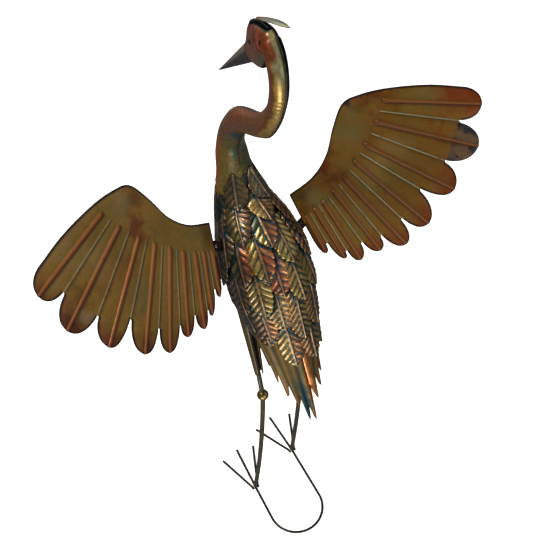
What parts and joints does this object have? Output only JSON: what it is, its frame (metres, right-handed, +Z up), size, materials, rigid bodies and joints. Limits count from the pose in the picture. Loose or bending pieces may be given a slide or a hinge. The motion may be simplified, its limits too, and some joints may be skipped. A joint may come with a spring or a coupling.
{
  "type": "garden heron statue",
  "caption": "Standing sheet-metal garden heron with raised wings, an S-shaped neck, overlapping leaf feathers, rod legs and a wire loop on the ground behind its feet",
  "frame": {"origin": "middle of the statue's bounding box on the ground plane, at the height of the ground wires' underside", "axes": "+Z is up. The bird's breast, toes and bill point to -Y, its tail and the round end of the wire loop to +Y, and its left wing to +X."},
  "size_m": [0.608, 0.2706, 1.1038],
  "materials": {
    "wire_steel": "dark brown-black lacquered round wire",
    "rod_steel": "grey-brown lacquered round rod",
    "ball_brass": "worn brass, lacquered",
    "body_bronze": "dark bronze lacquer over sheet steel",
    "wing_bronze": "olive bronze lacquer with copper ribs, pale grooves and reddish tips",
    "thigh_bronze": "golden bronze lacquer",
    "tail_bronze": "olive brown lacquer with a blue streak and one copper strip",
    "feather_copper": "copper and gold-green lacquer with teal patina in the embossed lines",
    "neck_bronze": "gold, olive and red-copper lacquer with teal patina",
    "bill_dark": "satin grey brown",
    "crest_silver": "pale silver green",
    "eye_dark": "dark glossy paint",
    "bracket_black": "near-black steel strip with a grey bolt"
  },
  "bodies": {
    "root": {"ground_loop": "wire_steel", "body_shell": "body_bronze", "tail_feathers": "tail_bronze", "neck_and_head": "neck_bronze", "bill": "bill_dark", "crest": "crest_silver", "left_outer_toe": "wire_steel", "left_inner_toe": "wire_steel", "left_shank": "rod_steel", "left_thigh_rod": "rod_steel", "left_ankle_ball": "ball_brass", "left_thigh_sheet": "thigh_bronze", "left_wing": "wing_bronze", "left_wing_bolt": "bracket_black", "left_wing_tab": "bracket_black", "left_eye": "eye_dark", "right_outer_toe": "wire_steel", "right_inner_toe": "wire_steel", "right_shank": "rod_steel", "right_thigh_rod": "rod_steel", "right_ankle_ball": "ball_brass", "right_thigh_sheet": "thigh_bronze", "right_wing": "wing_bronze", "right_wing_bolt": "bracket_black", "right_wing_tab": "bracket_black", "right_eye": "eye_dark", "feather_row_1": "feather_copper", "feather_row_2": "feather_copper", "feather_row_3": "feather_copper", "feather_row_4": "feather_copper", "feather_row_5": "feather_copper", "feather_row_6": "feather_copper", "feather_row_7": "feather_copper"}
  },
  "joints": []
}
